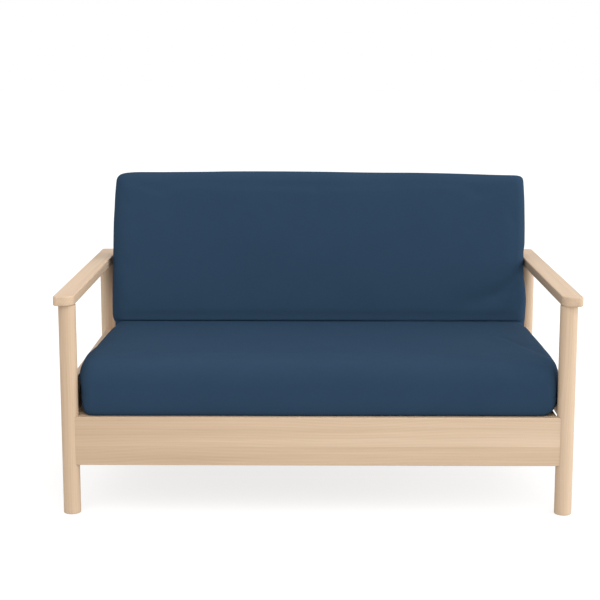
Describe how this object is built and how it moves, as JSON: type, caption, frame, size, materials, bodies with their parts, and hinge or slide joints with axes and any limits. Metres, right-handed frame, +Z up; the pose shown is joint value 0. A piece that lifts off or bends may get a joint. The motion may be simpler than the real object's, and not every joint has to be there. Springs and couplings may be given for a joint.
{
  "type": "fitted futon cover, filled by its folded mattress, on a wooden two-seat sofa frame",
  "caption": "Navy cloth futon cover, filled and folded into a seat and a back, on a plain light wood sofa frame with round posts and flat armrests.",
  "frame": {"origin": "on the floor, under the middle of the sofa's outline seen from above", "axes": "+X to the right along the front as seen from the front, +Y from the front to the back, +Z up"},
  "size_m": [1.5, 0.995, 0.9279],
  "materials": {
    "cover_cloth": "matt navy cotton twill, plain, taut over its filling",
    "frame_wood": "pale straight-grained wood with a clear satin oil"
  },
  "bodies": {
    "root": {"futon_cover": "cover_cloth", "front_post_left": "frame_wood", "back_post_left": "frame_wood", "armrest_left": "frame_wood", "side_board_left": "frame_wood", "front_post_right": "frame_wood", "back_post_right": "frame_wood", "armrest_right": "frame_wood", "side_board_right": "frame_wood", "front_rail": "frame_wood", "back_rail": "frame_wood", "deck_batten_front": "frame_wood", "deck_batten_back": "frame_wood", "deck_slat_1": "frame_wood", "deck_slat_2": "frame_wood", "deck_slat_3": "frame_wood", "deck_slat_4": "frame_wood", "deck_slat_5": "frame_wood", "deck_slat_6": "frame_wood", "deck_slat_7": "frame_wood", "deck_slat_8": "frame_wood", "deck_slat_9": "frame_wood", "backrest_stile_left": "frame_wood", "backrest_stile_right": "frame_wood", "backrest_rail_bottom": "frame_wood", "backrest_rail_top": "frame_wood", "backrest_slat_1": "frame_wood", "backrest_slat_2": "frame_wood", "backrest_slat_3": "frame_wood", "backrest_slat_4": "frame_wood", "backrest_slat_5": "frame_wood", "backrest_slat_6": "frame_wood", "backrest_slat_7": "frame_wood"}
  },
  "joints": []
}
